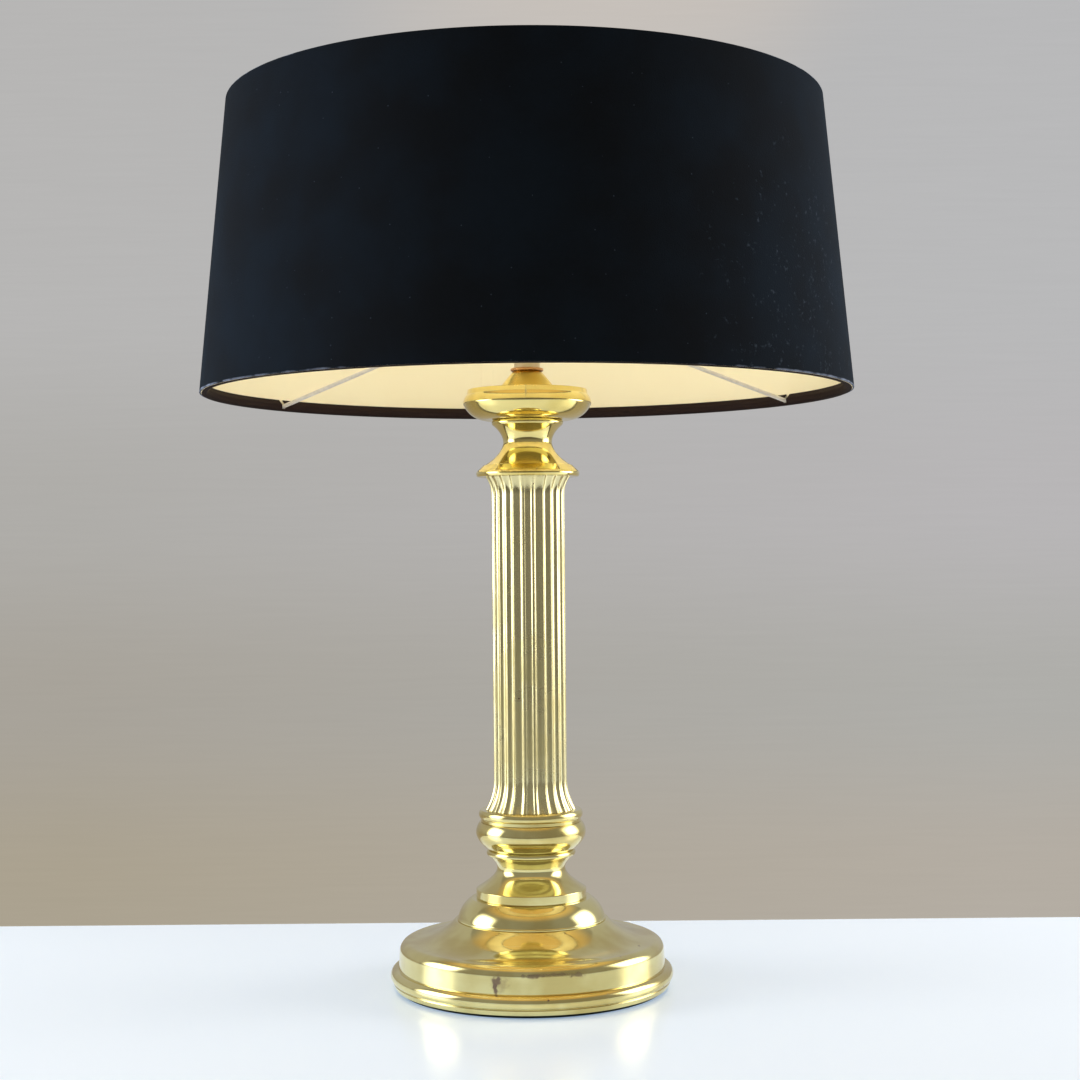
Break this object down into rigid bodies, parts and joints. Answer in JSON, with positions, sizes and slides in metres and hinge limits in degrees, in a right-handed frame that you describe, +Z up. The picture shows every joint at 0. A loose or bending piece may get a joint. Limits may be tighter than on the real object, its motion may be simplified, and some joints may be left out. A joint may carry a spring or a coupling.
{
  "type": "column table lamp",
  "caption": "Table lamp with a fluted polished brass column on a stepped round foot, under a wide dark velvet drum shade with a light lining.",
  "frame": {"origin": "centre of the felt underside, on the surface that the lamp stands on", "axes": "+Z up the column towards the shade, -Y towards the viewer (the front), +X to the viewer's right; the cord inlet is at +Y"},
  "size_m": [0.45, 0.4498, 0.6104],
  "materials": {
    "lacquered_brass": "polished, clear lacquer, a little tarnished",
    "green_felt": "dark baize felt",
    "cast_iron": "rough casting, painted black",
    "black_rubber": "moulded, matt",
    "zinc_steel": "zinc plated",
    "cream_thermoset": "moulded, semi gloss",
    "white_ceramic": "fired porcelain",
    "contact_brass": "stamped strip",
    "solder": "solder blob",
    "black_glass": "fused black insulator",
    "nickel_cap": "nickel plated, rolled thread",
    "opal_glass": "opal, lit warm white",
    "white_wire": "white powder coat",
    "black_velvet": "short pile velvet, blue-black, linty",
    "cream_lining": "cream laminate, lit from inside",
    "brown_tape": "folded dark brown tape"
  },
  "bodies": {
    "root": {"felt_pad": "green_felt", "base_ballast": "cast_iron", "base_shell": "lacquered_brass", "cord_inlet": "black_rubber", "tie_rod": "zinc_steel", "clamp_washer": "zinc_steel", "clamp_nut": "zinc_steel", "base_dome": "lacquered_brass", "dome_spacer": "zinc_steel", "pedestal": "lacquered_brass", "lower_bowl": "lacquered_brass", "lower_ring": "lacquered_brass", "column_tube": "lacquered_brass", "upper_flange": "lacquered_brass", "capital_neck": "lacquered_brass", "drip_dish": "lacquered_brass", "bell_cap": "lacquered_brass", "lock_disc": "lacquered_brass", "holder_cap": "cream_thermoset", "holder_skirt": "cream_thermoset", "holder_insulator": "white_ceramic", "terminal_screws": "contact_brass", "screw_shell": "contact_brass", "centre_contact": "contact_brass", "shade_rest_ring": "cream_thermoset"},
    "clamp_ring": {"shade_clamp_ring": "cream_thermoset"},
    "bulb": {"bulb_tip": "solder", "bulb_insulator": "black_glass", "bulb_cap": "nickel_cap", "bulb_glass": "opal_glass"},
    "shade": {"shade_spider": "white_wire", "shade_bottom_ring": "white_wire", "shade_top_ring": "white_wire", "shade_cover": "black_velvet", "shade_lining": "cream_lining", "bottom_hem": "brown_tape", "top_hem": "brown_tape"}
  },
  "joints": [
    {"name": "shade_turn", "type": "hinge", "parent": "root", "child": "shade", "pos_m": [0, 0, 0.4685], "axis": [0, 0, 1], "continuous": true},
    {"name": "shade_ring_turn", "type": "hinge", "parent": "root", "child": "clamp_ring", "pos_m": [0, 0, 0.4726], "axis": [0, 0, 1], "continuous": true},
    {"name": "bulb_unscrew", "type": "slide", "parent": "root", "child": "bulb", "axis": [0, 0, 1], "range_m": [0, 0.026]}
  ]
}
